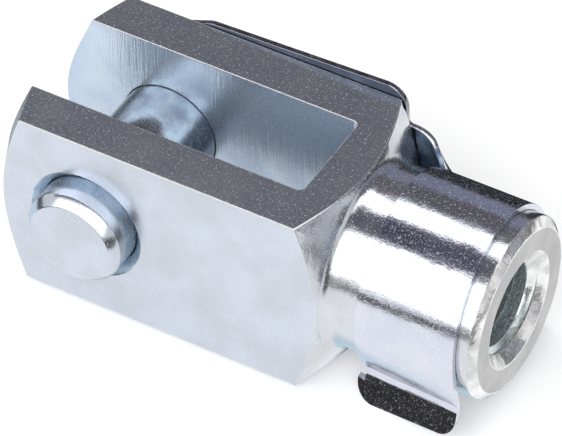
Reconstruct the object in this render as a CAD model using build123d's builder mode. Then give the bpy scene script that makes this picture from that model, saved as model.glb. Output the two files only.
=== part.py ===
from build123d import *
from math import atan2, cos, hypot, radians, sin, sqrt, tan
import os

# Clevis rod end with a folding spring-clip pin.  Millimetres.
# Origin: where the pin's axis crosses the middle of the slot.
# +X: along the neck to the tapped end.  Y: along the pin, the clip's strap being on the +Y side.
# +Z: up.  The slot is open at the arms' ends, above and below.

# ---------------------------------------------------------------- fork head
bar_width = 20.0                # square bar that the head is turned from
bar_edge_radius = 0.35          # rolled long edges of the bar
slot_width = 10.5
slot_depth = 20.5               # pin axis to the slot's bottom
slot_corner_radius = 0.6
arm_reach = 9.0                 # pin axis to the arms' ends, at the middle of a flat
arm_end_angle = 27.3            # turned cone of the arms' ends, from a square cut
shoulder_reach = 24.57          # pin axis to the shoulder, at the middle of a flat
shoulder_angle = 27.7           # turned cone of the shoulder, from a square cut
neck_diameter = 18.0
neck_root_radius = 1.5
neck_length = 15.78             # shoulder to the neck's end face
neck_chamfer_depth = 0.85       # across the neck
neck_chamfer_length = 0.7       # along the neck
tap_diameter = 8.5              # bore of an M10 thread
countersink_diameter = 11.5
countersink_angle = 90.0        # full angle

# ---------------------------------------------------------------- clevis pin
pin_diameter = 10.0
pin_clearance = 0.05            # all round the pin, in the cross hole
hole_chamfer = 0.9              # both outer ends of the cross hole
pin_nose = 2.9                  # stands out of the near arm
pin_nose_chamfer_depth = 0.75   # across the pin
pin_nose_chamfer_length = 1.0   # along the pin
rivet_diameter = 6.4            # stem that passes through the strap
rivet_head_diameter = 9.4
rivet_head_height = 1.3
rivet_bevel = 0.8               # across and along, round the rivet's head
rivet_clearance = 0.03          # round the stem, and on both sides of the strap

# ---------------------------------------------------------------- spring clip
sheet = 0.55                    # thickness of the spring steel
clip_rise = 2.25                # the clip leans up towards its clasp
strap_gap = 0.07                # between the far arm and the strap
strap_overlap = 0.25            # wider than the bar by this, above and below
strap_end_radius = 8.9          # round end, about the pin
strap_flank_angle = 19.5        # the strap widens from its round end at this slope
strap_flank_radius = 2.0
strap_setback = 1.37            # the strap's square end stops this far short of the shoulder
strap_corner_radius = 2.2
web_top_angle = 48.7            # where the web's upper edge meets the clasp, up from the level
web_foot_angle = 15.0           # the web's lower edge, short of the clasp's edge round the neck
web_notch_radius = 0.4
web_lead = 0.85                 # the sheet starts to bend in this far short of the shoulder
web_lap = 1.5                   # the web's end lies on the clasp by this
web_outer_bend = 4.2            # radius of the web's bend at the strap
web_inner_bend = 0.9            # radius of the web's bend at the clasp
clasp_offset = 3.68             # shoulder to the clasp
clasp_length = 10.26
clasp_clearance = 0.04          # round the neck
clasp_skew = 0.8                # both cut ends are this far from square, seen from above
clasp_end_lean = 1.9            # the end towards the neck's end leans back at the top
grip_slack = 0.25               # start: below the neck's middle the sides' radius is this much larger
grip_wrap = 39.9                # start: angle of the sides below the neck's middle
splay_slack = 12.2              # end: the same radius is larger by this, so that the sides open
splay_wrap = 14.3               # end: angle of the sides below the neck's middle
lip_bend_start = 2.3            # start: radius of the bends, at the middle of the sheet
lip_bend_end = 1.9              # end: the same radius
lip_lean = 20.0                 # the lips lean outwards from the vertical
lip_length = 2.55
lip_overhang = 0.8              # the lips start before the clasp
lip_corner_radius = 2.0
ear_drop = 0.05                 # the ears' upper edges are this far below the bends

# ---------------------------------------------------------------- construction
turning_stock = 1.0             # the turned outline passes this far outside the bar's corners
pick = 0.01                     # edges and corners are picked to this closeness
clasp_trim = 0.6                # the clasp is drawn longer by this all round, then cut to its outline
corner_share = 0.96             # a rounded corner takes at most this much of its shorter edge
web_inset = 0.08                # each face of the web's end lies this deep in the clasp
web_sections = 9                # sections that the web is drawn through
web_spans = 3                   # spans of each section's curve
web_slope_step = 0.05           # half the length over which the web's slope is measured

# ---------------------------------------------------------------- worked out
half_bar = bar_width / 2
neck_reach = shoulder_reach + neck_length
neck_radius = neck_diameter / 2
pin_radius = pin_diameter / 2
hole_radius = pin_radius + pin_clearance
corner_reach = hypot(half_bar, half_bar)
strap_inner = half_bar + strap_gap
strap_outer = strap_inner + sheet


def arm_end_at(radius):
    """X of the arms' turned ends, at a radius from the neck's axis."""
    return -arm_reach + (radius - half_bar) * tan(radians(arm_end_angle))


def shoulder_at(radius):
    """X of the turned shoulder, at a radius from the neck's axis."""
    return shoulder_reach - (radius - half_bar) * tan(radians(shoulder_angle))


# ================================================================ fork head
head_start = arm_end_at(0)
blank_radius = corner_reach + turning_stock
bore_length = neck_reach - slot_depth + slot_width / 2

with BuildPart() as fork_head:
    # Turned outline: coned arm ends, full bar, coned shoulder, neck.
    with BuildSketch(Plane.XZ) as turned_outline:
        with BuildLine():
            Polyline(
                (head_start, 0),
                (arm_end_at(blank_radius), blank_radius),
                (shoulder_at(blank_radius), blank_radius),
                (shoulder_at(neck_radius), neck_radius),
                (neck_reach - neck_chamfer_length, neck_radius),
                (neck_reach, neck_radius - neck_chamfer_depth),
                (neck_reach, 0),
                close=True,
            )
        make_face()
        neck_root = turned_outline.vertices().sort_by_distance((shoulder_at(neck_radius), neck_radius))[0]
        fillet(neck_root, neck_root_radius)
    revolve(axis=Axis.X)
    # The square bar with its rolled edges.
    with BuildSketch(Plane.YZ.offset(head_start)):
        RectangleRounded(bar_width, bar_width, bar_edge_radius)
    extrude(amount=neck_reach - head_start, mode=Mode.INTERSECT)
    # Slot, open at the arms' ends and above and below.
    with BuildSketch(Plane.XY.offset(-half_bar)) as slot_outline:
        with BuildLine():
            Polyline(
                (head_start, -slot_width / 2),
                (slot_depth, -slot_width / 2),
                (slot_depth, slot_width / 2),
                (head_start, slot_width / 2),
                close=True,
            )
        make_face()
        fillet(slot_outline.vertices().group_by(Axis.X)[-1], slot_corner_radius)
    extrude(amount=bar_width, mode=Mode.SUBTRACT)
    # Cross hole for the pin, chamfered at both outer faces.
    with Locations(Plane.XZ):
        Hole(hole_radius)
    hole_rims = fork_head.edges().filter_by(GeomType.CIRCLE).filter_by(
        lambda rim: abs(abs(rim.center().Y) - half_bar) < pick
    )
    chamfer(hole_rims, hole_chamfer)
    # Tapped bore through the neck into the slot, countersunk at the neck's end.
    with Locations(Plane.YZ.offset(neck_reach)):
        CounterSinkHole(
            tap_diameter / 2,
            countersink_diameter / 2,
            depth=bore_length,
            counter_sink_angle=countersink_angle,
        )
fork_head.part.label = "fork_head"

# ================================================================ clevis pin
pin_tip = -half_bar - pin_nose
pin_shoulder = strap_inner - rivet_clearance
rivet_radius = rivet_diameter / 2
rivet_head_radius = rivet_head_diameter / 2
rivet_seat = strap_outer + rivet_clearance
rivet_crown = rivet_seat + rivet_head_height

with BuildPart() as clevis_pin:
    # Half section about the pin's axis: nose, shank, stem and rivet head.
    with BuildSketch(Plane.XY):
        with BuildLine():
            Polyline(
                (0, rivet_crown),
                (0, pin_tip),
                (pin_radius - pin_nose_chamfer_depth, pin_tip),
                (pin_radius, pin_tip + pin_nose_chamfer_length),
                (pin_radius, pin_shoulder),
                (rivet_radius, pin_shoulder),
                (rivet_radius, rivet_seat),
                (rivet_head_radius, rivet_seat),
                (rivet_head_radius, rivet_crown - rivet_bevel),
                (rivet_head_radius - rivet_bevel, rivet_crown),
                close=True,
            )
        make_face()
    revolve(axis=Axis.Y)
clevis_pin.part.label = "clevis_pin"

# ================================================================ spring clip
rise = radians(clip_rise)
lean = radians(lip_lean)
skew = radians(clasp_skew)
clasp_radius = neck_radius + clasp_clearance + sheet / 2
clasp_start = shoulder_reach + clasp_offset
clasp_end = clasp_start + clasp_length
lips_start = clasp_start - lip_overhang
clasp_stations = (lips_start - clasp_trim, clasp_end + clasp_trim)
clasp_side = Plane(origin=(0, 0, 0), x_dir=(1, tan(skew), 0), z_dir=(tan(skew), -1, 0))
web_start = shoulder_reach - web_lead
web_end = clasp_start + web_lap
strap_middle = strap_outer - sheet / 2
strap_reach = shoulder_reach - strap_setback
strap_half_width = half_bar + strap_overlap
strap_face = Plane(origin=(0, strap_outer, 0), x_dir=(cos(rise), 0, sin(rise)), z_dir=(0, -1, 0))


def across_neck(x):
    """Plane square to the leaning clip where it crosses the neck's axis: its x is Y, its y is up."""
    return Plane(origin=(x, 0, 0), x_dir=(0, 1, 0), z_dir=(cos(rise), 0, sin(rise)))


# -------- clasp and lips: station 0 is short of the lips' start and station 1 past the clasp's end
def clasp_sides(station):
    """Radius and angle of the clasp's sides, and radius of the lips' bends, at one station."""
    grip = (clasp_radius + grip_slack, grip_wrap, lip_bend_start)
    splay = (clasp_radius + splay_slack, splay_wrap, lip_bend_end)
    return (grip, splay)[station]


def bend_centre(station, side):
    """Centre of the bend between the clasp and one lip: side is -1 near and 1 far."""
    side_radius, wrap, bend = clasp_sides(station)
    reach, angle = side_radius + bend, radians(wrap)
    return side * (clasp_radius - side_radius + reach * cos(angle)), -reach * sin(angle)


def lip_point(station, side, half, drop):
    """Point on one face of a lip: half is from the sheet's middle, drop is down from the bend."""
    centre_y, centre_z = bend_centre(station, side)
    radius = clasp_sides(station)[-1] + half
    return (
        centre_y - side * (radius * cos(lean) - drop * sin(lean)),
        centre_z - radius * sin(lean) - drop * cos(lean),
    )


def clasp_outline(station):
    """Draws the section: a C whose two ends bend back outwards into flat lips."""
    side_radius, wrap, bend = clasp_sides(station)
    for half in (-sheet / 2, sheet / 2):
        CenterArc((0, 0), clasp_radius + half, 0, 180)
        CenterArc((clasp_radius - side_radius, 0), side_radius + half, -wrap, wrap)
        CenterArc((side_radius - clasp_radius, 0), side_radius + half, 180, wrap)
        CenterArc(bend_centre(station, -1), bend - half, wrap, -wrap - lip_lean)
        CenterArc(bend_centre(station, 1), bend - half, 180 - wrap, wrap + lip_lean)
        for side in (-1, 1):
            Line(lip_point(station, side, -half, 0), lip_point(station, side, -half, lip_length + clasp_trim))
    for side in (-1, 1):
        Line(*(lip_point(station, side, half, lip_length + clasp_trim) for half in (-sheet / 2, sheet / 2)))


def end_at(height):
    """X of the clasp's cut end at a height above the neck's axis."""
    return clasp_end - height * tan(radians(clasp_end_lean))


lip_foot = [lip_point(station, 1, 0, lip_length)[1] for station in (0, 1)]
lip_corners = [(lips_start, lip_foot[0]), (end_at(lip_foot[1]), lip_foot[1])]
lip_slope = atan2(lip_foot[1] - lip_foot[0], clasp_end - lips_start)
ear_top = lip_point(0, 1, sheet / 2, ear_drop)[1]
ear_limit = corner_share * (ear_top - lip_foot[0]) * tan((radians(90) - lip_slope) / 2)

# -------- web between the strap and the clasp: a bend in, a slope and a bend out
def clasp_reach(height):
    """Y of the middle of the clasp's far side where the web ends, at a height above the neck's axis."""
    share = (web_end - clasp_stations[0]) / (clasp_stations[1] - clasp_stations[0])
    radii = (clasp_sides(station)[0] if height < 0 else clasp_radius for station in (0, 1))
    start, end = (clasp_radius - radius + sqrt(radius ** 2 - height ** 2) for radius in radii)
    return start + share * (end - start)


web_top = clasp_radius * sin(radians(web_top_angle))
web_bottom = clasp_radius * sin(radians(grip_wrap - web_foot_angle))
web_length = web_end - web_start
web_fall = strap_middle - sqrt(clasp_radius ** 2 - web_top ** 2)
web_bends = web_outer_bend + web_inner_bend
web_slope = sqrt(web_length ** 2 + web_fall ** 2 - 2 * web_fall * web_bends)
turn = atan2(
    web_bends * web_length + web_slope * (web_fall - web_bends),
    web_slope * web_length - web_bends * (web_fall - web_bends),
)

# -------- strap, in its own leaning plane
flank = radians(strap_flank_angle)
flank_start = (-strap_end_radius * sin(flank), strap_end_radius * cos(flank))
flank_end = flank_start[0] + (strap_half_width - flank_start[1]) / tan(flank)
neck_level = -web_start * sin(rise)
tongue_end = web_start * cos(rise)
tongue_top = neck_level + web_top
tongue_bottom = neck_level - web_bottom


def web_share(along):
    """Share of the web's fall that its sheet has made, at a length along the web."""
    left = web_length - along
    if along < web_outer_bend * sin(turn):
        fallen = web_outer_bend - sqrt(web_outer_bend ** 2 - along ** 2)
    elif left < web_inner_bend * sin(turn):
        fallen = web_fall - web_inner_bend + sqrt(web_inner_bend ** 2 - left ** 2)
    else:
        fallen = web_outer_bend * (1 - cos(turn)) + (along - web_outer_bend * sin(turn)) * tan(turn)
    return fallen / web_fall


def web_point(along, face, height):
    """Point of the web's section: face is -1 inside and 1 outside, height is above the neck's axis."""
    fall = strap_middle - clasp_reach(height)
    before, after = max(along - web_slope_step, 0), min(along + web_slope_step, web_length)
    slope = fall * (web_share(after) - web_share(before)) / (after - before)
    across = (sheet / 2 - web_inset * web_share(along)) * hypot(1, slope)
    return strap_middle - fall * web_share(along) + face * across, height


def web_outline(along):
    """Draws the web's section across the neck."""
    heights = [-web_bottom + (web_top + web_bottom) * share / web_spans for share in range(web_spans + 1)]
    inner = [web_point(along, -1, height) for height in heights]
    outer = [web_point(along, 1, height) for height in heights]
    Spline(*inner)
    Spline(*outer)
    Line(inner[0], outer[0])
    Line(inner[-1], outer[-1])


def corners_at(outline, x):
    """Corners of a flat outline that lie at one x."""
    return outline.vertices().filter_by_position(Axis.X, x - pick, x + pick)


with BuildPart() as spring_clip:
    # Clasp round the neck with its two lips, the sides splayed towards the neck's end.
    for station in (0, 1):
        with BuildSketch(Plane.YZ.offset(clasp_stations[station])):
            with BuildLine():
                clasp_outline(station)
            make_face()
    loft(ruled=True)
    # Cut to its outline seen from the side, the lips' free corners rounded.
    with BuildSketch(clasp_side) as clasp_cut:
        with BuildLine():
            Polyline(
                *lip_corners,
                (end_at(bar_width), bar_width),
                (clasp_start, bar_width),
                (clasp_start, ear_top),
                (lips_start, ear_top),
                close=True,
            )
        make_face()
        free_corners = [clasp_cut.vertices().sort_by_distance(corner)[0] for corner in lip_corners]
        fillet(free_corners, min(lip_corner_radius, ear_limit))
    extrude(amount=bar_width, both=True, mode=Mode.INTERSECT)
    # Web, its inner end sunk in the thickness of the clasp.
    for station in range(web_sections):
        run = web_length * station / (web_sections - 1)
        with BuildSketch(across_neck(web_start + run)):
            with BuildLine():
                web_outline(run)
            make_face()
    loft()
    # Strap along the far arm, narrowed to a short tongue that carries the web.
    with BuildSketch(strap_face) as strap_outline:
        with BuildLine():
            Polyline(
                flank_start,
                (flank_end, strap_half_width),
                (strap_reach, strap_half_width),
                (strap_reach, tongue_top),
                (tongue_end, tongue_top),
                (tongue_end, tongue_bottom),
                (strap_reach, tongue_bottom),
                (strap_reach, -strap_half_width),
                (flank_end, -strap_half_width),
                (flank_start[0], -flank_start[1]),
            )
            ThreePointArc((flank_start[0], -flank_start[1]), (-strap_end_radius, 0), flank_start)
        make_face()
        fillet(corners_at(strap_outline, flank_end), strap_flank_radius)
        bottom_corner, *notch_corners, top_corner = corners_at(strap_outline, strap_reach).sort_by(Axis.Y)
        fillet((bottom_corner, top_corner), strap_corner_radius)
        fillet(notch_corners, web_notch_radius)
        with Locations((0, 0)):
            Circle(rivet_radius + rivet_clearance, mode=Mode.SUBTRACT)
    extrude(amount=sheet)
spring_clip.part.label = "spring_clip"

os.makedirs("parts", exist_ok=True)
export_step(fork_head.part, "parts/fork_head.step")
export_step(clevis_pin.part, "parts/clevis_pin.step")
export_step(spring_clip.part, "parts/spring_clip.step")
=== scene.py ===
"""Dresses the clevis rod end: a fork head, its clevis pin and the spring clip that locks the pin.

Sizes are in millimetres and angles in degrees. Each piece is modelled in millimetres about the
part's own origin, on the same axes as the frame, and is brought to metres when it is finished.
"""

import logging
import math
from dataclasses import dataclass, field
from enum import Enum
from typing import Callable, Sequence

import bpy
from mathutils import Matrix, Vector


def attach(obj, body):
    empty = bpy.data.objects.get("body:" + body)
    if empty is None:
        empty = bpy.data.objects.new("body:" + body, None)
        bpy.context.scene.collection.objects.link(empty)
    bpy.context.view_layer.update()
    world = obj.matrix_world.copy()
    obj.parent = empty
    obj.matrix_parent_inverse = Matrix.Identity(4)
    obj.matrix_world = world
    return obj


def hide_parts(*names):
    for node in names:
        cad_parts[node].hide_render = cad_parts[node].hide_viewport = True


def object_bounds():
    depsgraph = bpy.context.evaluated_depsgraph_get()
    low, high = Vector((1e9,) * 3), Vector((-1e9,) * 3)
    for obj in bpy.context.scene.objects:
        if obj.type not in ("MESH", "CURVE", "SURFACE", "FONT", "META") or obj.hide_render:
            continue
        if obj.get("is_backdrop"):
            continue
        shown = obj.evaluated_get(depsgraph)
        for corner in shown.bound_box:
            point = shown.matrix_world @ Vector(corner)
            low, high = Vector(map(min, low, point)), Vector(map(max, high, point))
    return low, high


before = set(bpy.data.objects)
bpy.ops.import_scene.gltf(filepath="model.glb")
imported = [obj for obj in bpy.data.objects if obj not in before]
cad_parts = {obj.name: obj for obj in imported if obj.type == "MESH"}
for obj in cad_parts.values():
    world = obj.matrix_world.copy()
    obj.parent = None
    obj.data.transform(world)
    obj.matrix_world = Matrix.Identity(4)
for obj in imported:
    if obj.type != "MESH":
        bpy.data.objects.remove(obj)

MM = 0.001
WELD = 0.002                    # points nearer than this are one point
WHITE = (1.0, 1.0, 1.0)
WATTS_FOR_WHITE = 4.0           # power of each square metre of a lamp whose face shows white
log = logging.getLogger("clevis_rod_end")


# ---------------------------------------------------------------- modelling helpers
class Along(Enum):
    """The axis that a piece is turned about or extruded along."""

    X = Vector((1.0, 0.0, 0.0))
    Y = Vector((0.0, 1.0, 0.0))


def deselect_all() -> None:
    """Leaves no object selected."""
    bpy.ops.object.select_all(action="DESELECT")


def take(piece: bpy.types.Object) -> bpy.types.Object:
    """Makes one object the only selected and the active one.

    Args:
        piece: The object to work on.

    Returns:
        The same object.
    """
    deselect_all()
    piece.select_set(True)
    bpy.context.view_layer.objects.active = piece
    return piece


def edit_all(piece: bpy.types.Object, mode: str = "VERT") -> None:
    """Opens an object in edit mode with all of it selected.

    Args:
        piece: The object to open.
        mode: The selection mode: VERT, EDGE or FACE.
    """
    take(piece)
    bpy.ops.object.mode_set(mode="EDIT")
    bpy.ops.mesh.select_mode(type=mode)
    bpy.ops.mesh.select_all(action="SELECT")


def close_edit() -> None:
    """Goes back to object mode."""
    bpy.ops.object.mode_set(mode="OBJECT")


def select_edges(piece: bpy.types.Object, wanted: Callable[[Vector, Vector], bool]) -> None:
    """Selects the edges that a test picks by their two ends, and opens edit mode on them.

    Args:
        piece: The object, in object mode.
        wanted: Says whether the edge between two points is picked.
    """
    edit_all(piece, "EDGE")
    bpy.ops.mesh.select_all(action="DESELECT")
    close_edit()
    points = piece.data.vertices
    for edge in piece.data.edges:
        start, end = (points[index].co for index in edge.vertices)
        edge.select = wanted(start, end)
    bpy.ops.object.mode_set(mode="EDIT")


def chain(name: str, points: Sequence[Vector]) -> bpy.types.Object:
    """Draws an open chain of edges by extruding one point along it.

    Args:
        name: The new object's name.
        points: The chain's points.

    Returns:
        The new object, in object mode.
    """
    deselect_all()
    bpy.ops.mesh.primitive_circle_add(vertices=3, radius=1.0, location=(0.0, 0.0, 0.0))
    piece = bpy.context.object
    piece.name = name
    piece.data.name = name
    edit_all(piece)
    bpy.ops.mesh.merge(type="CENTER")
    bpy.ops.transform.translate(value=points[0])
    for before, after in zip(points, points[1:]):
        bpy.ops.mesh.extrude_region_move(TRANSFORM_OT_translate={"value": after - before})
    close_edit()
    return piece


def tidy_faces(piece: bpy.types.Object, weld: float = WELD) -> None:
    """Merges doubled points and points every face outwards.

    Args:
        piece: The object to tidy.
        weld: Points nearer than this are merged.
    """
    edit_all(piece)
    bpy.ops.mesh.remove_doubles(threshold=weld)
    bpy.ops.mesh.select_all(action="SELECT")
    bpy.ops.mesh.normals_make_consistent(inside=False)
    close_edit()


def turned(name: str, outline: Sequence[tuple[float, float]], axis: Along, steps: int) -> bpy.types.Object:
    """Turns an outline about an axis.

    Args:
        name: The new object's name.
        outline: Pairs of place along the axis and radius, from end to end.
        axis: The axis to turn about.
        steps: The number of steps round.

    Returns:
        The new solid.
    """
    points = [axis.value * place + Vector((0.0, 0.0, radius)) for place, radius in outline]
    piece = chain(name, points)
    edit_all(piece)
    bpy.ops.mesh.spin(steps=steps, angle=math.tau, center=(0.0, 0.0, 0.0), axis=axis.value)
    close_edit()
    tidy_faces(piece)
    return piece


def block(name: str, low: Sequence[float], high: Sequence[float]) -> bpy.types.Object:
    """Makes a plain block between two corners.

    Args:
        name: The new object's name.
        low: The lowest corner.
        high: The highest corner.

    Returns:
        The new block.
    """
    deselect_all()
    middle = [(a + b) / 2 for a, b in zip(low, high)]
    bpy.ops.mesh.primitive_cube_add(size=1.0, location=middle)
    piece = bpy.context.object
    piece.name = name
    piece.data.name = name
    piece.scale = [b - a for a, b in zip(low, high)]
    bpy.ops.object.transform_apply(location=True, rotation=True, scale=True)
    return piece


def round_edges(
    piece: bpy.types.Object, wanted: Callable[[Vector, Vector], bool], radius: float, segments: int
) -> None:
    """Rounds the edges that a test picks.

    Args:
        piece: The object to work on.
        wanted: Says whether the edge between two points is rounded.
        radius: The round's radius.
        segments: The number of faces across the round.
    """
    select_edges(piece, wanted)
    bpy.ops.mesh.bevel(offset=radius, segments=segments, profile=0.5, affect="EDGES")
    close_edit()


def combine(body: bpy.types.Object, tool: bpy.types.Object, operation: str) -> None:
    """Joins a tool with a body by a boolean and removes the tool.

    Args:
        body: The object that is kept.
        tool: The object that cuts, limits or adds to it.
        operation: DIFFERENCE, INTERSECT or UNION.
    """
    take(body)
    joint = body.modifiers.new(operation.lower(), "BOOLEAN")
    joint.operation = operation
    joint.solver = "EXACT"
    joint.material_mode = "TRANSFER"
    joint.object = tool
    bpy.ops.object.modifier_apply(modifier=joint.name)
    bpy.data.objects.remove(tool)


def break_edges(piece: bpy.types.Object, width: float, angle: float, material: int = -1) -> None:
    """Takes the sharpness off every edge that turns by more than an angle.

    Args:
        piece: The object to work on.
        width: The distance that the break reaches from the edge.
        angle: Edges that turn by less are left.
        material: The index of the material that the new faces get, or -1 for their neighbours'.
    """
    take(piece)
    easing = piece.modifiers.new("edge_break", "BEVEL")
    easing.width = width
    easing.segments = 2
    easing.limit_method = "ANGLE"
    easing.angle_limit = math.radians(angle)
    easing.use_clamp_overlap = False
    easing.material = material
    bpy.ops.object.modifier_apply(modifier=easing.name)


def finish_mesh(piece: bpy.types.Object, smooth_angle: float) -> None:
    """Brings a piece to metres and gives it smooth shading with level flats.

    Args:
        piece: The object to finish.
        smooth_angle: Edges that turn by more stay sharp.
    """
    take(piece)
    piece.scale = (MM, MM, MM)
    bpy.ops.object.transform_apply(location=True, rotation=True, scale=True)
    bpy.ops.object.shade_smooth_by_angle(angle=math.radians(smooth_angle))
    levelling = piece.modifiers.new("level_flats", "WEIGHTED_NORMAL")
    levelling.keep_sharp = True
    levelling.weight = 100
    bpy.ops.object.modifier_apply(modifier=levelling.name)


def arc(
    centre: tuple[float, float], radius: float, start: float, end: float, steps: int
) -> list[tuple[float, float]]:
    """Points along an arc, both ends included.

    Args:
        centre: The arc's centre.
        radius: Its radius.
        start: Its first angle.
        end: Its last angle.
        steps: The number of straight runs.

    Returns:
        A list of pairs.
    """
    angles = [math.radians(start + (end - start) * step / steps) for step in range(steps + 1)]
    return [(centre[0] + radius * math.cos(a), centre[1] + radius * math.sin(a)) for a in angles]


def rounded(corners: Sequence[tuple[float, float, float]], steps: int) -> list[Vector]:
    """Rounds the corners of an open chain.

    Args:
        corners: Each corner's two coordinates and the radius of its round, or 0.
        steps: The number of straight runs round each corner.

    Returns:
        The chain's points.
    """
    points = []
    for index, (x, y, radius) in enumerate(corners):
        corner = Vector((x, y))
        if not radius:
            points.append(corner)
            continue
        before = (Vector(corners[index - 1][:2]) - corner).normalized()
        after = (Vector(corners[index + 1][:2]) - corner).normalized()
        half = before.angle(after) / 2
        centre = corner + (before + after).normalized() * radius / math.sin(half)
        first, last = (corner + way * radius / math.tan(half) - centre for way in (before, after))
        sweep = first.angle_signed(last)
        for step in range(steps + 1):
            points.append(centre + Matrix.Rotation(-sweep * step / steps, 2) @ first)
    return points


def plate(name: str, points: Sequence[Vector], depth: Vector) -> bpy.types.Object:
    """Fills a closed outline and extrudes it.

    Args:
        name: The new object's name.
        points: The outline's points in order, without repeating the first.
        depth: How far and which way it is extruded, or a zero vector for one flat face.

    Returns:
        The new plate.
    """
    piece = chain(name, points)
    edit_all(piece)
    bpy.ops.mesh.edge_face_add()
    if depth.length:
        bpy.ops.mesh.extrude_region_move(TRANSFORM_OT_translate={"value": depth})
    close_edit()
    return piece


def formed_sheet(
    name: str, columns: int, rows: int, shape: Callable[[float, float], Vector]
) -> bpy.types.Object:
    """Forms a flat grid into a curved sheet.

    Args:
        name: The new object's name.
        columns: The number of faces along it.
        rows: The number of faces across it.
        shape: Gives the place of the point at two shares, along and across, from 0 to 1.

    Returns:
        The new sheet, one face thick.
    """
    deselect_all()
    bpy.ops.mesh.primitive_grid_add(
        x_subdivisions=columns, y_subdivisions=rows, size=1.0, location=(0.0, 0.0, 0.0)
    )
    piece = bpy.context.object
    piece.name = piece.data.name = name
    for point in piece.data.vertices:
        point.co = shape(round(point.co.x + 0.5, 5), round(point.co.y + 0.5, 5))
    return piece


def thicken(piece: bpy.types.Object, thickness: float, group: str = "") -> None:
    """Gives a sheet its thickness, half on each side.

    Args:
        piece: The sheet.
        thickness: Its thickness.
        group: The vertex group that thins it, if any.
    """
    edit_all(piece)
    bpy.ops.mesh.normals_make_consistent(inside=False)
    close_edit()
    skin = piece.modifiers.new("thickness", "SOLIDIFY")
    skin.thickness = thickness
    skin.offset = 0.0
    skin.use_even_offset = True
    skin.vertex_group = group
    bpy.ops.object.modifier_apply(modifier=skin.name)
    tidy_faces(piece)


# ---------------------------------------------------------------- finishes
class Grain(Enum):
    """The way that a surface was worked, which sets how its fine marks run."""

    DRAWN = "along the bar"
    TURNED_X = "round the neck's axis"
    TURNED_Y = "round the pin's axis"
    MILLED = "up and down in the slot"
    ROLLED = "even"


class Board:
    """Lays shader nodes on a node tree."""

    def __init__(self, tree: bpy.types.NodeTree) -> None:
        """Clears the tree.

        Args:
            tree: The node tree to lay nodes on.
        """
        self.tree = tree
        tree.nodes.clear()

    def add(self, kind: str, **settings: object) -> bpy.types.Node:
        """Adds a node.

        Args:
            kind: The node's type, without its common prefix.
            **settings: Properties of the node, or values of its input sockets by name with
                spaces written as underscores.

        Returns:
            The new node.
        """
        node = self.tree.nodes.new("ShaderNode" + kind)
        for name, value in settings.items():
            socket = next((s for s in node.inputs if s.name.replace(" ", "_") == name), None)
            if socket is None:
                setattr(node, name, value)
            elif isinstance(value, bpy.types.NodeSocket):
                self.tree.links.new(value, socket)
            else:
                socket.default_value = value
        return node

    def maths(self, operation: str, *values: object) -> bpy.types.NodeSocket:
        """Adds a maths node.

        Args:
            operation: The operation's name.
            *values: Numbers or sockets.

        Returns:
            The node's output.
        """
        node = self.tree.nodes.new("ShaderNodeMath")
        node.operation = operation
        for socket, value in zip(node.inputs, values):
            if isinstance(value, bpy.types.NodeSocket):
                self.tree.links.new(value, socket)
            else:
                socket.default_value = value
        return node.outputs[0]

    def join(
        self, kind: str, first: bpy.types.Node, second: bpy.types.Node, **settings: object
    ) -> bpy.types.Node:
        """Adds a node that joins two shaders.

        Args:
            kind: The joining node's type.
            first: The first shader's node.
            second: The second shader's node.
            **settings: As for add.

        Returns:
            The joining node.
        """
        node = self.add(kind, **settings)
        for socket, shader in zip([s for s in node.inputs if s.type == "SHADER"], (first, second)):
            self.tree.links.new(shader.outputs[0], socket)
        return node

    def finish(self, shader: bpy.types.Node) -> None:
        """Lays the material's output.

        Args:
            shader: The node of the material's surface.
        """
        self.add("OutputMaterial", Surface=shader.outputs[0])

    def noise(self, place: bpy.types.NodeSocket, size: float, detail: float = 2.0) -> bpy.types.NodeSocket:
        """Adds a noise pattern.

        Args:
            place: Where the pattern is read.
            size: The size of its blotches.
            detail: Its finer layers.

        Returns:
            The noise's strength, about one half on average.
        """
        node = self.add("TexNoise", Vector=place, Scale=1.0 / (size * MM), Detail=detail)
        return node.outputs[0]

    def ramp(self, value: object, low: float, high: float, start: float = 0.0, end: float = 1.0) -> object:
        """Spreads a range of values over another one, smoothly at both ends.

        Args:
            value: The socket to read.
            low: The value that becomes start.
            high: The value that becomes end.
            start: The first result.
            end: The last result.

        Returns:
            The result's socket.
        """
        node = self.tree.nodes.new("ShaderNodeMapRange")
        node.interpolation_type = "SMOOTHSTEP"
        self.tree.links.new(value, node.inputs[0])
        for socket, number in zip(node.inputs[1:5], (low, high, start, end)):
            socket.default_value = number
        return node.outputs[0]

    def blend(self, share: object, first: Sequence[float], second: object) -> bpy.types.NodeSocket:
        """Blends one colour into another.

        Args:
            share: The socket that gives the second colour's share.
            first: The first colour, or its socket.
            second: The second colour.

        Returns:
            The blended colour's socket.
        """
        node = self.tree.nodes.new("ShaderNodeMix")
        node.data_type = "RGBA"
        self.tree.links.new(share, node.inputs[0])
        for socket, colour in zip(node.inputs[6:8], (first, second)):
            if isinstance(colour, bpy.types.NodeSocket):
                self.tree.links.new(colour, socket)
            else:
                socket.default_value = (*colour, 1.0)
        return node.outputs[2]


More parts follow.
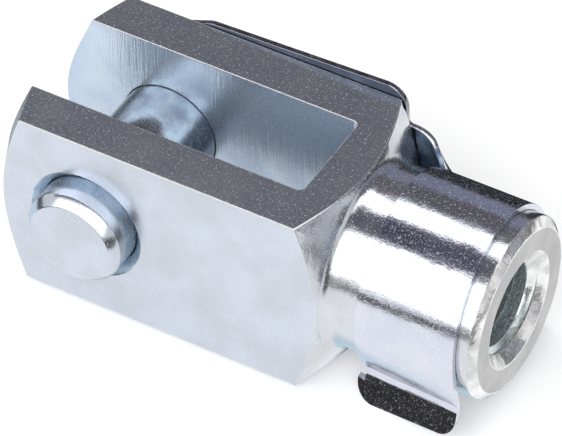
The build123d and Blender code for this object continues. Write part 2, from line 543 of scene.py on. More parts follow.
@dataclass(frozen=True)
class ZincFinish:
    """Bright zinc plating over steel, with the marks of the work that was done before it."""

    name: str
    grain: Grain
    light: tuple[float, float, float] = (0.50, 0.54, 0.61)
    dark: tuple[float, float, float] = (0.46, 0.49, 0.54)
    patch_size: float = 4.0
    roughness: float = 0.20
    roughness_spread: float = 0.05
    wave_size: float = 2.5
    wave_depth: float = 0.004
    mark_size: float = 0.22
    mark_depth: float = 0.0008
    grain_size: float = 0.15
    grain_depth: float = 0.003
    dullness: float = 0.06
    fleck: float = 0.28
    fleck_share: tuple[float, float] = (0.52, 0.74)
    speck: float = 0.5
    speck_size: float = 0.25
    speck_share: tuple[float, float] = (0.62, 0.70)
    worn: tuple[float, float, float] = (0.60, 0.56, 0.49)
    worn_share: tuple[float, float] = (0.28, 0.52)
    worn_size: float = 0.5
    worn_dullness: float = 0.85
    wear_reach: float = 0.14

    def marks_place(self, board: Board, place: bpy.types.NodeSocket) -> bpy.types.NodeSocket:
        """Squeezes the pattern space so that marks run the way that the surface was worked.

        Args:
            board: The board to lay nodes on.
            place: The object coordinates.

        Returns:
            The socket of the squeezed coordinates.
        """
        parts = board.add("SeparateXYZ", Vector=place).outputs
        if self.grain in (Grain.TURNED_X, Grain.TURNED_Y):
            along, across = (parts[0], parts[1]) if self.grain is Grain.TURNED_X else (parts[1], parts[0])
            square = board.maths("ADD", board.maths("MULTIPLY", across, across),
                                 board.maths("MULTIPLY", parts[2], parts[2]))
            drift = board.maths("MULTIPLY", board.maths("ADD", across, parts[2]), 0.04)
            return board.add("CombineXYZ", X=along, Y=board.maths("SQRT", square), Z=drift).outputs[0]
        squeeze = {Grain.DRAWN: (0.03, 1.0, 1.0), Grain.MILLED: (1.0, 1.0, 0.05)}.get(self.grain, (1.0,) * 3)
        return board.add("Mapping", Vector=place, Scale=squeeze).outputs[0]

    def wear(self, board: Board, place: bpy.types.NodeSocket) -> bpy.types.NodeSocket:
        """Finds the edges, where the plating is rubbed thin in broken stretches.

        Args:
            board: The board to lay nodes on.
            place: The object coordinates.

        Returns:
            A socket that is 1 on a worn edge.
        """
        eased = board.add("Bevel", Radius=self.wear_reach * MM, samples=4).outputs[0]
        facing = board.add("NewGeometry").outputs["Normal"]
        match = board.add("VectorMath", operation="DOT_PRODUCT")
        board.tree.links.new(eased, match.inputs[0])
        board.tree.links.new(facing, match.inputs[1])
        edge = board.ramp(match.outputs["Value"], 0.995, 0.93)
        rubbed = board.ramp(board.noise(place, self.worn_size, 3.0), *self.worn_share)
        return board.maths("MULTIPLY", edge, rubbed)

    def material(self) -> bpy.types.Material:
        """Makes the finish's material.

        Returns:
            The new material.
        """
        metal = bpy.data.materials.new(self.name)
        metal.use_nodes = True
        board = Board(metal.node_tree)
        place = board.add("TexCoord").outputs["Object"]
        patches = board.noise(place, self.patch_size, 2.0)
        waves = board.noise(place, self.wave_size, 1.0)
        grains = board.noise(place, self.grain_size, 1.0)
        marks = board.noise(self.marks_place(board, place), self.mark_size, 3.0)
        flecks = board.ramp(board.noise(place, self.grain_size * 0.9, 1.0), *self.fleck_share)
        flecks = board.maths("MULTIPLY", flecks, board.ramp(board.noise(place, 0.5, 1.0), 0.3, 0.7, 0.5, 1.4))
        specks = board.ramp(board.noise(place, self.speck_size, 2.0), *self.speck_share, 0.0, self.speck)
        worn = self.wear(board, place)
        tint = board.blend(board.ramp(patches, 0.3, 0.7), self.light, self.dark)
        tint = board.blend(worn, tint, self.worn)
        rough = board.ramp(patches, 0.3, 0.7, self.roughness, self.roughness + self.roughness_spread)
        dull = board.maths("ADD", board.maths("MULTIPLY", flecks, self.fleck), self.dullness)
        dull = board.maths("MAXIMUM", dull, specks)
        dull = board.maths("MAXIMUM", dull, board.maths("MULTIPLY", worn, self.worn_dullness))
        metallic = board.maths("SUBTRACT", 1.0, dull)
        bump = board.add("Bump", Height=waves, Distance=self.wave_depth * MM, Strength=1.0)
        for height, depth in ((grains, self.grain_depth), (marks, self.mark_depth)):
            bump = board.add("Bump", Height=height, Distance=depth * MM, Strength=1.0, Normal=bump.outputs[0])
        shader = board.add(
            "BsdfPrincipled", Base_Color=tint, Metallic=metallic, Roughness=rough, Normal=bump.outputs[0]
        )
        board.finish(shader)
        return metal


# ---------------------------------------------------------------- fork head
@dataclass
class ForkHead:
    """The forked head: a square bar, turned at both ends, slotted, cross-drilled and tapped."""

    bar: float = 20.0
    bar_edge: float = 0.05
    slot_width: float = 10.5
    slot_depth: float = 20.5
    slot_corner: float = 0.6
    arm_reach: float = 9.0
    arm_angle: float = 27.3
    shoulder_reach: float = 24.57
    shoulder_angle: float = 27.7
    neck: float = 9.0
    neck_root: float = 1.5
    neck_reach: float = 40.35
    neck_chamfer: tuple[float, float] = (0.7, 0.85)
    bore: float = 4.25
    countersink: float = 5.75
    cross_hole: float = 5.05
    cross_chamfer: float = 0.9
    thread_root: float = 4.95
    thread_pitch: float = 1.5
    edge_break: float = 0.11
    turning_stock: float = 1.0
    steps: int = 160
    bar_finish: ZincFinish = ZincFinish("fork_bar_zinc", Grain.DRAWN, wear_reach=0.22)
    turned_finish: ZincFinish = ZincFinish(
        "fork_turned_zinc", Grain.TURNED_X, light=(0.54, 0.56, 0.60), dark=(0.48, 0.50, 0.53), roughness=0.14,
        mark_depth=0.004, wave_size=1.3, wave_depth=0.035, grain_depth=0.008, fleck=0.25)
    end_finish: ZincFinish = ZincFinish(
        "fork_end_zinc", Grain.ROLLED, light=(0.76, 0.76, 0.76), dark=(0.50, 0.50, 0.51), patch_size=1.6,
        roughness=0.18, mark_depth=0.01, wave_size=1.6, wave_depth=0.12, grain_size=0.3, grain_depth=0.015,
        fleck=0.3, dullness=0.22)
    hole_finish: ZincFinish = ZincFinish(
        "fork_hole_zinc", Grain.TURNED_Y, light=(0.58, 0.69, 0.78), dark=(0.40, 0.51, 0.61), patch_size=1.5,
        fleck=0.2)
    face_finish: ZincFinish = ZincFinish(
        "fork_face_zinc", Grain.TURNED_X, light=(0.43, 0.43, 0.43), dark=(0.37, 0.37, 0.375), roughness=0.35,
        mark_depth=0.004, wave_size=2.0, wave_depth=0.05, fleck=0.2, speck=0.1)
    slot_finish: ZincFinish = ZincFinish(
        "fork_slot_zinc", Grain.MILLED, light=(0.49, 0.57, 0.67), dark=(0.42, 0.51, 0.63), mark_depth=0.025,
        wave_depth=0.01, fleck=0.1, speck=0.05, dullness=0.25)
    bore_finish: ZincFinish = ZincFinish(
        "fork_bore_zinc", Grain.TURNED_X, light=(0.70, 0.76, 0.78), dark=(0.58, 0.65, 0.68), fleck=0.3)

    def outline(self) -> list[tuple[float, float]]:
        """Works out the turned outline.

        Returns:
            Pairs of place along the neck and radius, from the arms' ends to the neck's end.
        """
        half = self.bar / 2
        outside = half * math.sqrt(2.0) + self.turning_stock
        arm, shoulder = math.tan(math.radians(self.arm_angle)), math.radians(self.shoulder_angle)
        root = (
            self.shoulder_reach + self.neck_root / math.cos(shoulder)
            - (self.neck + self.neck_root - half) * math.tan(shoulder),
            self.neck + self.neck_root,
        )
        return [
            (-self.arm_reach - half * arm, 0.0),
            (-self.arm_reach + (outside - half) * arm, outside),
            (self.shoulder_reach - (outside - half) * math.tan(shoulder), outside),
            *arc(root, self.neck_root, 180.0 + self.shoulder_angle, 270.0, 6),
            (self.neck_reach - self.neck_chamfer[0], self.neck),
            (self.neck_reach, self.neck - self.neck_chamfer[1]),
            (self.neck_reach, 0.0),
        ]

    def square(self, blank: bpy.types.Object) -> None:
        """Limits the turned blank to the square bar.

        Args:
            blank: The turned blank.
        """
        half = self.bar / 2
        limit = block("bar", (-half * 2, -half, -half), (self.neck_reach + half, half, half))
        round_edges(limit, lambda a, b: abs(a.x - b.x) > half, self.bar_edge, 4)
        limit.data.materials.append(self.bar_finish.material())
        combine(blank, limit, "INTERSECT")

    def slot(self, head: bpy.types.Object) -> None:
        """Mills the slot, open at the arms' ends, above and below.

        Args:
            head: The head.
        """
        half, side = self.bar, self.slot_width / 2
        mill = block("mill", (-half, -side, -half), (self.slot_depth, side, half))
        round_edges(mill, lambda a, b: min(a.x, b.x) > 0 and abs(a.z - b.z) > half, self.slot_corner, 5)
        mill.data.materials.append(self.slot_finish.material())
        combine(head, mill, "DIFFERENCE")

    def drill(self, head: bpy.types.Object) -> None:
        """Drills and chamfers the cross hole, then bores and countersinks the neck.

        Args:
            head: The head.
        """
        half, over = self.bar / 2, 1.0
        wide = self.cross_hole + self.cross_chamfer + over
        cross = turned("cross_drill", [
            (-half - over, 0.0), (-half - over, wide),
            (-half + self.cross_chamfer, self.cross_hole), (half - self.cross_chamfer, self.cross_hole),
            (half + over, wide), (half + over, 0.0),
        ], Along.Y, 96)
        core = turned("neck_drill", [
            (self.slot_depth - over, 0.0), (self.slot_depth - over, self.bore),
            (self.neck_reach + over, self.bore), (self.neck_reach + over, 0.0),
        ], Along.X, 96)
        sink = turned("countersink", [
            (self.neck_reach - self.countersink, 0.0), (self.neck_reach + over, self.countersink + over),
            (self.neck_reach + over, 0.0),
        ], Along.X, 96)
        for tool, finish in ((cross, self.hole_finish), (core, self.bore_finish), (sink, self.end_finish)):
            tool.data.materials.append(finish.material())
            combine(head, tool, "DIFFERENCE")

    def tap(self, head: bpy.types.Object) -> None:
        """Cuts the thread as one helical groove through the neck.

        Args:
            head: The head.
        """
        inner = self.bore - 0.3
        half_root = self.thread_pitch / 16
        half_mouth = half_root + (self.thread_root - inner) * math.tan(math.radians(30.0))
        start = self.slot_depth - self.thread_pitch
        points = [
            Vector((start - half_mouth, 0.0, inner)), Vector((start - half_root, 0.0, self.thread_root)),
            Vector((start + half_root, 0.0, self.thread_root)), Vector((start + half_mouth, 0.0, inner)),
        ]
        groove = chain("tap", points)
        edit_all(groove)
        bpy.ops.mesh.edge_face_add()
        bpy.ops.mesh.delete(type="ONLY_FACE")
        close_edit()
        turns = math.ceil((self.neck_reach - start) / self.thread_pitch) + 1
        winding = groove.modifiers.new("winding", "SCREW")
        winding.axis = "X"
        winding.angle = math.tau
        winding.screw_offset = self.thread_pitch
        winding.iterations = turns
        winding.steps = winding.render_steps = 40
        bpy.ops.object.modifier_apply(modifier=winding.name)
        edit_all(groove)
        bpy.ops.mesh.select_all(action="DESELECT")
        bpy.ops.mesh.select_non_manifold()
        bpy.ops.mesh.fill_holes(sides=0)
        close_edit()
        tidy_faces(groove)
        groove.data.materials.append(head.data.materials[self.bore_finish.name])
        combine(head, groove, "DIFFERENCE")

    def build(self) -> bpy.types.Object:
        """Makes the head and puts it in the frame.

        Returns:
            The finished piece.
        """
        head = turned("fork_head_dressed", self.outline(), Along.X, self.steps)
        head.data.materials.append(self.turned_finish.material())
        self.square(head)
        self.slot(head)
        self.drill(head)
        tidy_faces(head)
        break_edges(head, self.edge_break, 24.0)
        head.data.materials.append(self.face_finish.material())
        names = [paint.name for paint in head.data.materials]
        end, square = self.neck_reach - self.neck_chamfer[0] + WELD, 0.99
        for face in head.data.polygons:
            if face.material_index == names.index(self.turned_finish.name) and face.center.x > end:
                finish = self.face_finish if face.normal.x > square else self.end_finish
                face.material_index = names.index(finish.name)
        self.tap(head)
        finish_mesh(head, 35.0)
        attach(head, "fork_head")
        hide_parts("fork_head")
        return head


# ---------------------------------------------------------------- clevis pin
@dataclass
class ClevisPin:
    """The pin: a chamfered nose, a plain shank, and a stem riveted over the clip's strap."""

    radius: float = 5.0
    tip: float = -12.9
    nose_chamfer: tuple[float, float] = (1.0, 0.75)
    shoulder: float = 10.04
    stem: float = 3.2
    rivet_seat: float = 10.65
    rivet_crown: float = 11.95
    rivet_head: float = 4.7
    rivet_bevel: float = 0.8
    # Half the length of shank between the arms, which is painted darker as shade.
    painted_shade_reach: float = 5.2
    edge_break: float = 0.1
    finish: ZincFinish = ZincFinish("pin_zinc", Grain.TURNED_Y, fleck=0.2, roughness=0.16)
    # Painted shade: the shank between the arms is coloured darker than the rest of the pin.
    shank_painted_shade_finish: ZincFinish = ZincFinish(
        "pin_shank_zinc", Grain.TURNED_Y, light=(0.40, 0.45, 0.49), dark=(0.22, 0.24, 0.28), patch_size=2.6,
        roughness=0.16, mark_depth=0.003, wave_size=1.6, wave_depth=0.03, fleck=0.5)

    def build(self) -> bpy.types.Object:
        """Makes the pin and puts it in the frame.

        Returns:
            The finished piece.
        """
        outline = [
            (self.tip, 0.0), (self.tip, self.radius - self.nose_chamfer[1]),
            (self.tip + self.nose_chamfer[0], self.radius), (-self.painted_shade_reach, self.radius),
            (self.painted_shade_reach, self.radius), (self.shoulder, self.radius),
            (self.shoulder, self.stem), (self.rivet_seat, self.stem), (self.rivet_seat, self.rivet_head),
            (self.rivet_crown - self.rivet_bevel, self.rivet_head),
            (self.rivet_crown, self.rivet_head - self.rivet_bevel), (self.rivet_crown, 0.0),
        ]
        pin = turned("clevis_pin_dressed", outline, Along.Y, 128)
        for finish in (self.finish, self.shank_painted_shade_finish):
            pin.data.materials.append(finish.material())
        for face in pin.data.polygons:
            # Faces between the arms take the darker paint, which is painted shade.
            face.material_index = int(abs(face.center.y) < self.painted_shade_reach)
        break_edges(pin, self.edge_break, 20.0)
        finish_mesh(pin, 35.0)
        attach(pin, "clevis_pin")
        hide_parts("clevis_pin")
        return pin


# ---------------------------------------------------------------- spring clip
class ClipFace(Enum):
    """The kinds of face that the clip's paints go by, with each one's place among its materials: the strap's
    and the web's insides are painted shade, and the lips and the strap's edges are painted dark reflection.
    """

    OPEN = 0
    STRAP_INSIDE = 1
    WEB_INSIDE = 2
    LIP_OR_EDGE = 3


@dataclass
class SpringClip:
    """The folded clip: a strap over the pin, a web, and a clasp with two lips round the neck."""

    sheet: float = 0.55
    rise: float = 2.25
    strap_inner: float = 10.07
    strap_round: float = 8.9
    strap_half: float = 10.25
    strap_reach: float = 23.2
    strap_corner: float = 2.2
    flank_angle: float = 19.5
    flank_round: float = 2.0
    notch_round: float = 0.4
    rivet_hole: float = 3.23
    web_start: float = 23.72
    web_end: float = 29.75
    web_top: float = 7.0
    web_bottom: float = 3.92
    outer_bend: float = 4.2
    inner_bend: float = 0.9
    web_thinning: float = 0.3
    clasp_radius: float = 9.315
    clasp_start: float = 28.25
    clasp_end: float = 38.51
    clasp_skew: float = 0.8
    clasp_lean: float = 1.9
    clasp_trim: float = 0.6
    sides: tuple[tuple[float, float, float], ...] = ((9.565, 39.9, 2.3), (21.515, 14.3, 1.9))
    top_share: float = 0.45
    side_share: float = 0.72
    bend_share: float = 0.88
    lip_lean: float = 20.0
    lip_length: float = 2.54
    lip_overhang: float = 0.8
    lip_corner: float = 2.0
    lip_corner_share: float = 0.8
    ear_drop: float = 0.15
    edge_break: float = 0.03
    level_angle: float = 0.3
    finish: ZincFinish = ZincFinish(
        "clip_zinc", Grain.ROLLED, light=(0.56, 0.58, 0.64), dark=(0.52, 0.54, 0.62), roughness=0.12,
        grain_size=0.2, grain_depth=0.007, wave_size=1.5, wave_depth=0.03, fleck=0.34, dullness=0.03,
        worn=(0.3, 0.29, 0.27), wear_reach=0.05, speck=0.3)
    # Painted shade: the strap's inside, seen in the gap next to the far arm, is coloured dark blue-grey.
    strap_painted_shade_finish: ZincFinish = ZincFinish(
        "clip_shaded_zinc", Grain.ROLLED, light=(0.10, 0.11, 0.15), dark=(0.06, 0.07, 0.10), roughness=0.30,
        fleck=0.2, wear_reach=0.05, speck=0.1)
    # Painted shade: the web's inside, which faces the neck, is coloured dark navy with a painted blue
    # reflection.
    web_painted_shade_finish: ZincFinish = ZincFinish(
        "clip_web_zinc", Grain.MILLED, light=(0.34, 0.46, 0.62), dark=(0.08, 0.11, 0.19), patch_size=1.6,
        mark_size=0.5, mark_depth=0.03, dullness=0.45, wear_reach=0.05, speck=0.1)
    # Painted dark reflection: the lips' outer faces and the strap's edges are coloured near-black.
    lip_and_edge_painted_dark_finish: ZincFinish = ZincFinish(
        "clip_lip_zinc", Grain.ROLLED, light=(0.34, 0.34, 0.38), dark=(0.16, 0.16, 0.18), patch_size=1.5,
        roughness=0.10, wave_size=0.9, wave_depth=0.012, fleck=0.3, speck=0.45, speck_size=0.32,
        dullness=0.03, worn=(0.3, 0.29, 0.27), wear_reach=0.05)

    def half_section(self, station: int, share: float) -> tuple[float, float]:
        """Finds a point of the clasp's half section, at the middle of the sheet.

        The section runs over the top, down the side, round the bend and down the lip.

        Args:
            station: 0 at the lips' start and 1 past the clasp's end.
            share: 0 at the top and 1 at the lip's foot; the fields give where each stretch ends.

        Returns:
            The distance from the middle plane, and the height.
        """
        side, wrap, bend = self.sides[station]
        wrap, lean = math.radians(wrap), math.radians(self.lip_lean)
        top, flank, turn = self.top_share, self.side_share, self.bend_share
        if share <= top:
            angle = math.pi / 2 * (1 - share / top)
            return self.clasp_radius * math.cos(angle), self.clasp_radius * math.sin(angle)
        if share <= flank:
            angle = wrap * (share - top) / (flank - top)
            return self.clasp_radius - side + side * math.cos(angle), -side * math.sin(angle)
        centre = (self.clasp_radius - side + (side + bend) * math.cos(wrap), -(side + bend) * math.sin(wrap))
        angle = wrap - (wrap + lean) * (min(share, turn) - flank) / (turn - flank)
        drop = max(share - turn, 0.0) / (1 - turn) * (self.lip_length + self.clasp_trim)
        return (
            centre[0] - bend * math.cos(angle) + drop * math.sin(lean),
            centre[1] + bend * math.sin(angle) - drop * math.cos(lean),
        )

    def clasp_point(self, along: float, round_it: float) -> Vector:
        """Finds a point of the clasp's middle surface.

        Args:
            along: Share of the length between the two stations.
            round_it: Share of the way round, from the near lip's foot to the far one's.

        Returns:
            The point.
        """
        side = math.copysign(1.0, round_it - 0.5)
        first, last = (self.half_section(station, abs(2 * round_it - 1)) for station in (0, 1))
        reach, height = (a + along * (b - a) for a, b in zip(first, last))
        start = self.clasp_start - self.lip_overhang - self.clasp_trim
        return Vector((start + along * (self.clasp_end + self.clasp_trim - start), side * reach, height))

    def clasp(self) -> bpy.types.Object:
        """Forms the clasp with its lips and cuts it to its outline seen from the side.

        Returns:
            The clasp.
        """
        clasp = formed_sheet("spring_clip_dressed", 16, 200, self.clasp_point)
        thicken(clasp, self.sheet)
        bend = self.bend_share
        drop = (1 - bend) * self.lip_length / (self.lip_length + self.clasp_trim)
        feet = [self.half_section(station, bend + drop)[1] for station in (0, 1)]
        ear = self.half_section(0, bend)[1] - self.ear_drop
        lips, top, wide = self.clasp_start - self.lip_overhang, self.clasp_radius * 2, self.clasp_radius * 3
        lean, skew = (math.tan(math.radians(angle)) for angle in (self.clasp_lean, self.clasp_skew))
        outline = rounded([
            (lips, ear, 0), (lips, feet[0], min(self.lip_corner, self.lip_corner_share * (ear - feet[0]))),
            (self.clasp_end - feet[1] * lean, feet[1], self.lip_corner),
            (self.clasp_end - top * lean, top, 0), (self.clasp_start, top, 0), (self.clasp_start, ear, 0),
        ], 10)
        points = [Vector((point.x + wide * skew, -wide, point.y)) for point in outline]
        combine(clasp, plate("clasp_outline", points, Vector((-2 * wide * skew, 2 * wide, 0))), "INTERSECT")
        return clasp

    def web_share(self, along: float) -> float:
        """Works out how much of the web's fall the sheet has made.

        Args:
            along: Length along the web.

        Returns:
            A share from 0 to 1.
        """
        length, fall = self.web_end - self.web_start, self.strap_middle - self.clasp_reach(self.web_top)
        bends = self.outer_bend + self.inner_bend
        slope = math.sqrt(length ** 2 + fall ** 2 - 2 * fall * bends)
        turn = math.atan2(bends * length + slope * (fall - bends), slope * length - bends * (fall - bends))
        left = length - along
        if along < self.outer_bend * math.sin(turn):
            fallen = self.outer_bend - math.sqrt(self.outer_bend ** 2 - along ** 2)
        elif left < self.inner_bend * math.sin(turn):
            fallen = fall - self.inner_bend + math.sqrt(self.inner_bend ** 2 - left ** 2)
        else:
            straight = along - self.outer_bend * math.sin(turn)
            fallen = self.outer_bend * (1 - math.cos(turn)) + straight * math.tan(turn)
        return fallen / fall

    @property
    def strap_middle(self) -> float:
        """The strap's middle surface, across from the neck's axis."""
        return self.strap_inner + self.sheet / 2

    def clasp_reach(self, height: float) -> float:
        """Works out how far the clasp's far side is from the middle plane where the web ends.

        Args:
            height: Height above the neck's axis.

        Returns:
            The distance.
        """
        start = self.clasp_start - self.lip_overhang - self.clasp_trim
        share = (self.web_end - start) / (self.clasp_end + self.clasp_trim - start)
        radii = [side[0] if height < 0 else self.clasp_radius for side in self.sides]
        first, last = (self.clasp_radius - r + math.sqrt(r * r - height * height) for r in radii)
        return first + share * (last - first)

    def web_point(self, along: float, up: float) -> Vector:
        """Finds a point of the web's middle surface.

        Args:
            along: Share of its length.
            up: Share of its height.

        Returns:
            The point.
        """
        length, rise = self.web_end - self.web_start, math.radians(self.rise)
        height = -self.web_bottom + up * (self.web_top + self.web_bottom)
        fall = self.strap_middle - self.clasp_reach(height)
        return Vector((
            self.web_start + along * length - height * math.sin(rise),
            self.strap_middle - fall * self.web_share(along * length),
            height * math.cos(rise),
        ))

    def strap(self) -> bpy.types.Object:
        """Forms the strap and the web in one sheet.

        Returns:
            The strap with its web.
        """
        rows, rise, flank = 24, math.radians(self.rise), math.radians(self.flank_angle)
        corner = (-self.strap_round * math.sin(flank), self.strap_round * math.cos(flank))
        wide = corner[0] + (self.strap_half - corner[1]) / math.tan(flank)
        level, tongue = -self.web_start * math.sin(rise), self.web_start * math.cos(rise)
        low, high = level - self.web_bottom, level + self.web_top
        end = [(tongue, low + (high - low) * step / rows, 0) for step in range(rows + 1)]
        reach, half = self.strap_reach, self.strap_half
        outline = rounded([
            *((*point, 0) for point in arc((0.0, 0.0), self.strap_round, 90.0 + self.flank_angle,
                                           270.0 - self.flank_angle, 48)),
            (wide, -half, self.flank_round), (reach, -half, self.strap_corner),
            (reach, low, self.notch_round), *end, (reach, high, self.notch_round),
            (reach, half, self.strap_corner), (wide, half, self.flank_round), (*corner, 0),
        ], 8)[:-1]
        across = Vector((math.cos(rise), 0.0, math.sin(rise)))
        upwards = Vector((-math.sin(rise), 0.0, math.cos(rise)))
        points = [across * p.x + upwards * p.y + Vector((0.0, self.strap_middle, 0.0)) for p in outline]
        strap = plate("strap", points, Vector((0.0, 0.0, 0.0)))
        web = formed_sheet("web", 40, rows, self.web_point)
        take(strap)
        web.select_set(True)
        bpy.ops.object.join()
        tidy_faces(strap, 0.01)
        thinning = strap.vertex_groups.new(name="thinning")
        length = self.web_end - self.web_start
        for point in strap.data.vertices:
            along = min(max(point.co.x + point.co.z * math.sin(rise) - self.web_start, 0.0), length)
            thinning.add([point.index], 1.0 - self.web_thinning * self.web_share(along), "REPLACE")
        thicken(strap, self.sheet, "thinning")
        over = 2.0
        drill = turned("rivet_drill", [
            (self.strap_inner - over, 0.0), (self.strap_inner - over, self.rivet_hole),
            (self.strap_inner + over, self.rivet_hole), (self.strap_inner + over, 0.0),
        ], Along.Y, 64)
        combine(strap, drill, "DIFFERENCE")
        return strap

    def kind_of(self, place: Vector, normal: Vector) -> ClipFace:
        """Tells what kind of face one is.

        Args:
            place: The face's centre.
            normal: The way it faces.

        Returns:
            The kind.
        """
        flat, upright, edge, turned = 0.99, 0.85, 0.8, 0.2
        # The strap's inside takes the painted shade.
        if normal.y < -flat and abs(place.y - self.strap_inner) < WELD * 10:
            return ClipFace.STRAP_INSIDE
        # The strap's edges take the lips' painted dark reflection.
        if abs(normal.y) < edge and place.y > self.strap_inner - WELD and place.x < self.strap_reach + WELD:
            return ClipFace.LIP_OR_EDGE
        # The web's inside takes the painted shade.
        on_web = place.y > self.clasp_radius / 2 and self.strap_reach < place.x < self.web_end
        if on_web and normal.y < -turned:
            return ClipFace.WEB_INSIDE
        # The lips' outer faces take the painted dark reflection.
        low = place.z < -self.clasp_radius * 0.7
        if low and normal.z > turned and abs(normal.y) > upright:
            return ClipFace.LIP_OR_EDGE
        return ClipFace.OPEN

    def build(self) -> bpy.types.Object:
        """Makes the clip and puts it in the frame.

        Returns:
            The finished piece.
        """
        clip = self.clasp()
        combine(clip, self.strap(), "UNION")
        tidy_faces(clip)
        edit_all(clip)
        bpy.ops.mesh.dissolve_limited(angle_limit=math.radians(self.level_angle))
        close_edit()
        break_edges(clip, self.edge_break, 50.0)
        clip.data.materials.clear()
        # After the open zinc come the painted shade of strap and web and the painted dark reflection of lips
        # and edges.
        for finish in (self.finish, self.strap_painted_shade_finish, self.web_painted_shade_finish, self.lip_and_edge_painted_dark_finish):
            clip.data.materials.append(finish.material())
        for face in clip.data.polygons:
            face.material_index = self.kind_of(face.center, face.normal).value
        finish_mesh(clip, 30.0)
        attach(clip, "spring_clip")
        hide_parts("spring_clip")
        return clip


# ---------------------------------------------------------------- studio
def glowing(name: str, colour: tuple[float, float, float]) -> bpy.types.Material:
    """Makes a plain paint that shines by itself.

    Args:
        name: The material's name.
        colour: Its colour, where 1 is as bright as white.

    Returns:
        The new material.
    """
    paint = bpy.data.materials.new(name)
    paint.use_nodes = True
    board = Board(paint.node_tree)
    board.finish(board.add("Emission", Color=(*colour, 1.0), Strength=1.0))
    return paint


@dataclass(frozen=True)
class FloorMirror:
    """How the floor shows in the metal, by the slope at which a reflection meets it.

    Left, right, front and behind are the ways in which a reflection looks down on the floor, as
    shares of its length, and depth is how far it looks down. A pair gives where a change of shade
    starts and ends.
    """

    rim: tuple[float, float] = (0.09, 0.19)
    rim_level: float = 0.02
    light_level: float = 1.38
    cloth_share: float = 0.25
    left_start: float = 0.40
    left_reach: tuple[float, float] = (0.78, 0.90)
    left_slope: tuple[float, float] = (0.8, 0.2)
    right_reach: tuple[float, float] = (0.50, 0.75)
    right_rise: float = 0.25
    right_front: tuple[float, float] = (0.2, 0.4)
    shade_behind: tuple[float, float] = (0.5, 0.6)
    shade_left: tuple[float, float] = (0.0, 0.15)
    cool: tuple[float, float, float] = (0.52, 0.70, 0.80)
    cool_behind: tuple[float, float] = (-0.3, 0.1)
    cool_left: tuple[float, float] = (0.0, 0.2)

    def shader(self, board: Board, cloth: bpy.types.Node) -> bpy.types.Node:
        """Lays the shader: dark at flat slopes, more so at both ends and behind, and light below.

        Args:
            board: The board to lay nodes on.
            cloth: The floor's plain shader.

        Returns:
            The node that mixes the paint with the plain shader.
        """
        left, front, depth = board.add(
            "SeparateXYZ", Vector=board.add("NewGeometry").outputs["Incoming"]
        ).outputs
        right, behind = (board.maths("MULTIPLY", share, -1.0) for share in (left, front))
        past = board.maths("MAXIMUM", board.maths("SUBTRACT", left, self.left_start), 0.0)
        at_left = board.maths("MULTIPLY", past, board.ramp(left, *self.left_reach, *self.left_slope))
        at_right = board.maths(
            "MULTIPLY", board.ramp(right, *self.right_reach, 0.0, self.right_rise),
            board.ramp(front, *self.right_front),
        )
        slant = board.maths("SUBTRACT", depth, board.maths("ADD", at_left, at_right))
        shade = board.maths(
            "MULTIPLY", board.ramp(behind, *self.shade_behind), board.ramp(left, *self.shade_left)
        )
        level = board.maths(
            "MULTIPLY", board.ramp(slant, *self.rim, self.rim_level, self.light_level),
            board.ramp(shade, 0.0, 1.0, 1.0, self.rim_level),
        )
        cooled = board.maths(
            "MULTIPLY", board.ramp(behind, *self.cool_behind), board.ramp(left, *self.cool_left)
        )
        tint = board.blend(cooled, WHITE, self.cool)
        painted = board.add("Emission", Color=tint, Strength=level)
        share = board.maths("MAXIMUM", board.ramp(slant, *self.rim, 1.0, 1.0 - self.cloth_share), shade)
        return board.join("MixShader", cloth, painted, Fac=share)


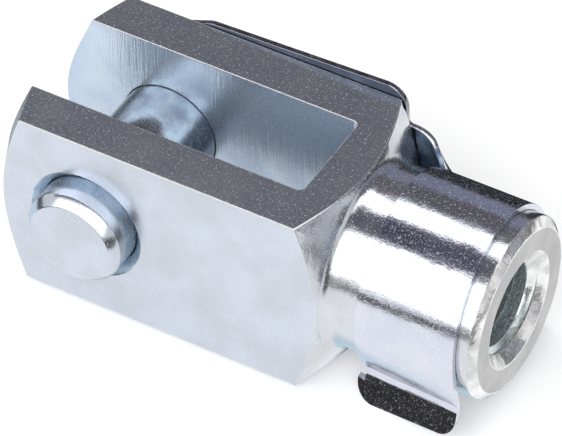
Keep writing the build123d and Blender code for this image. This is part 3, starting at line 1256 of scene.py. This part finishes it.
@dataclass
class Studio:
    """The camera, the floor, and what the metal mirrors: the floor, soft boxes and cards.

    Boxes and cards hang over the part. Each has a name, the slopes at which it starts and ends, from
    the front over the top, and how bright it is, where 1 is white.
    """

    aim: tuple[float, float, float] = (15.097, 0.179, -0.422)
    azimuth: float = 30.426
    elevation: float = 43.564
    roll: float = -0.465
    distance: float = 481.76
    lens: float = 331.48
    sensor: float = 36.0
    world_light: float = 0.5
    floor_level: float = field(default_factory=lambda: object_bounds()[0].z / MM)
    floor_shade: float = 0.93
    floor_lift: float = 0.12
    reach: float = 3.0
    mirror: FloorMirror = FloorMirror()
    hang: float = 0.6
    box_length: float = 1.6
    card_length: float = 2.4
    boxes: tuple[tuple[str, float, float, float], ...] = (
        ("front_box", 8.0, 60.0, 1.7), ("top_box", 95.0, 115.0, 1.5),
    )
    cards: tuple[tuple[str, float, float, tuple[float, float, float]], ...] = (
        ("gap_card", 64.0, 93.0, (0.05, 0.04, 0.08)), ("back_card", 118.0, 146.0, (0.11, 0.10, 0.115)),
        ("rear_card", 146.0, 172.0, (0.24, 0.25, 0.34)), ("far_card", 172.0, 181.0, (0.02, 0.02, 0.02)),
    )

    def camera(self) -> bpy.types.Object:
        """Places the camera.

        Returns:
            The camera.
        """
        azimuth, elevation, roll = (math.radians(a) for a in (self.azimuth, self.elevation, self.roll))
        forward = Vector((
            -math.sin(azimuth) * math.cos(elevation),
            math.cos(azimuth) * math.cos(elevation),
            -math.sin(elevation),
        ))
        level = Vector((math.cos(azimuth), math.sin(azimuth), 0.0))
        upright = level.cross(forward)
        right = level * math.cos(roll) + upright * math.sin(roll)
        up = upright * math.cos(roll) - level * math.sin(roll)
        data = bpy.data.cameras.new("camera")
        data.lens = self.lens
        data.sensor_width = self.sensor
        data.sensor_fit = "HORIZONTAL"
        data.clip_start = 0.01
        data.clip_end = 10.0
        camera = bpy.data.objects.new("camera", data)
        bpy.context.scene.collection.objects.link(camera)
        turn = Matrix((right, up, -forward)).transposed().to_4x4()
        camera.matrix_world = Matrix.Translation((Vector(self.aim) - forward * self.distance) * MM) @ turn
        bpy.context.scene.camera = camera
        return camera

    def world(self) -> None:
        """Makes the surroundings white to the camera and in the metal, and softer as a light."""
        world = bpy.data.worlds.new("studio")
        world.use_nodes = True
        bpy.context.scene.world = world
        board = Board(world.node_tree)
        level = board.ramp(self.seen(board), 0.0, 1.0, self.world_light, 1.0)
        back = board.add("Background", Color=(*WHITE, 1.0), Strength=level)
        board.add("OutputWorld", Surface=back.outputs[0])

    def seen(self, board: Board) -> bpy.types.NodeSocket:
        """Tells the rays that show something from the rays that only light it.

        Args:
            board: The board to lay nodes on.

        Returns:
            A socket that is 1 on camera, glossy and transmission rays.
        """
        path = board.add("LightPath").outputs
        both = board.maths("MAXIMUM", path["Is Camera Ray"], path["Is Glossy Ray"])
        return board.maths("MAXIMUM", both, path["Is Transmission Ray"])

    def set_up(self, piece: bpy.types.Object, name: str, paint: bpy.types.Material) -> bpy.types.Object:
        """Args:
            piece: The piece, active and selected.
            name: Its name.
            paint: Its material.

        Returns:
            The same piece.
        """
        bpy.ops.object.transform_apply(location=True, rotation=True, scale=True)
        piece.name = name
        piece.data.materials.append(paint)
        piece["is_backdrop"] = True
        return piece

    def mirrored_only(self, piece: bpy.types.Object) -> None:
        """Lets nothing but the metal's reflections show a piece.

        Args:
            piece: The piece.
        """
        piece.visible_camera = False
        piece.visible_diffuse = False
        piece.visible_shadow = False
        piece.visible_transmission = False

    def floor(self) -> bpy.types.Object:
        """Lays the floor, plain to the camera and painted in the metal.

        Returns:
            The floor.
        """
        paint = bpy.data.materials.new("floor_white")
        paint.use_nodes = True
        board = Board(paint.node_tree)
        cloth = board.add("BsdfDiffuse", Color=(self.floor_shade, self.floor_shade, self.floor_shade, 1.0))
        lift = board.add("Emission", Color=(*WHITE, 1.0), Strength=self.floor_lift)
        lifted = board.join("AddShader", cloth, lift)
        shown = board.join("MixShader", cloth, lifted, Fac=self.seen(board))
        glossy = board.add("LightPath").outputs["Is Glossy Ray"]
        board.finish(board.join("MixShader", shown, self.mirror.shader(board, cloth), Fac=glossy))
        deselect_all()
        bpy.ops.mesh.primitive_circle_add(
            vertices=64, radius=self.reach, fill_type="NGON", location=(0.0, 0.0, self.floor_level * MM)
        )
        return self.set_up(bpy.context.object, "floor", paint)

    def hung(self, start: float, end: float) -> tuple[Vector, tuple[float, float, float], float]:
        """Works out how a long face hangs over the part.

        Args:
            start: The slope at which it starts.
            end: The slope at which it ends.

        Returns:
            Its place, its turn and its width.
        """
        slope = math.radians((start + end) / 2)
        width = 2 * self.hang * math.tan(math.radians(end - start) / 2)
        place = Vector((0.0, -math.cos(slope), math.sin(slope))) * self.hang
        return place, (math.pi / 2 - slope, 0.0, 0.0), width

    def card(self, name: str, start: float, end: float, shade: tuple[float, float, float]) -> None:
        """Hangs a long card that only the metal shows.

        Args:
            name: The card's name.
            start: The slope at which it starts.
            end: The slope at which it ends.
            shade: Its colour.
        """
        place, turn, width = self.hung(start, end)
        deselect_all()
        bpy.ops.mesh.primitive_plane_add(size=1.0, location=place, rotation=turn)
        card = bpy.context.object
        card.scale = (self.card_length, width, 1.0)
        self.mirrored_only(card)
        self.set_up(card, name, glowing(name, shade))

    def soft_box(self, name: str, start: float, end: float, radiance: float) -> None:
        """Hangs a long soft box.

        Args:
            name: The lamp's name.
            start: The slope at which it starts.
            end: The slope at which it ends.
            radiance: How bright its face is.
        """
        place, turn, width = self.hung(start, end)
        data = bpy.data.lights.new(name, "AREA")
        data.shape = "RECTANGLE"
        data.size = self.box_length
        data.size_y = width
        data.energy = WATTS_FOR_WHITE * self.box_length * width * radiance
        lamp = bpy.data.objects.new(name, data)
        bpy.context.scene.collection.objects.link(lamp)
        lamp.location = place
        lamp.rotation_euler = turn
        lamp.visible_camera = False

    def build(self) -> None:
        """Sets the whole studio up."""
        self.camera()
        self.world()
        self.floor()
        for box in self.boxes:
            self.soft_box(*box)
        for card in self.cards:
            self.card(*card)
        bpy.context.scene.view_settings.view_transform = "Standard"


def main() -> None:
    """Builds every sub-assembly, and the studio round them."""
    logging.basicConfig(level=logging.INFO, format="%(name)s: %(message)s")
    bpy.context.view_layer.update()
    for assembly in (ForkHead(), ClevisPin(), SpringClip()):
        piece = assembly.build()
        log.info("%s: %d faces", piece.name, len(piece.data.polygons))
    Studio().build()


if __name__ == "__main__":
    main()
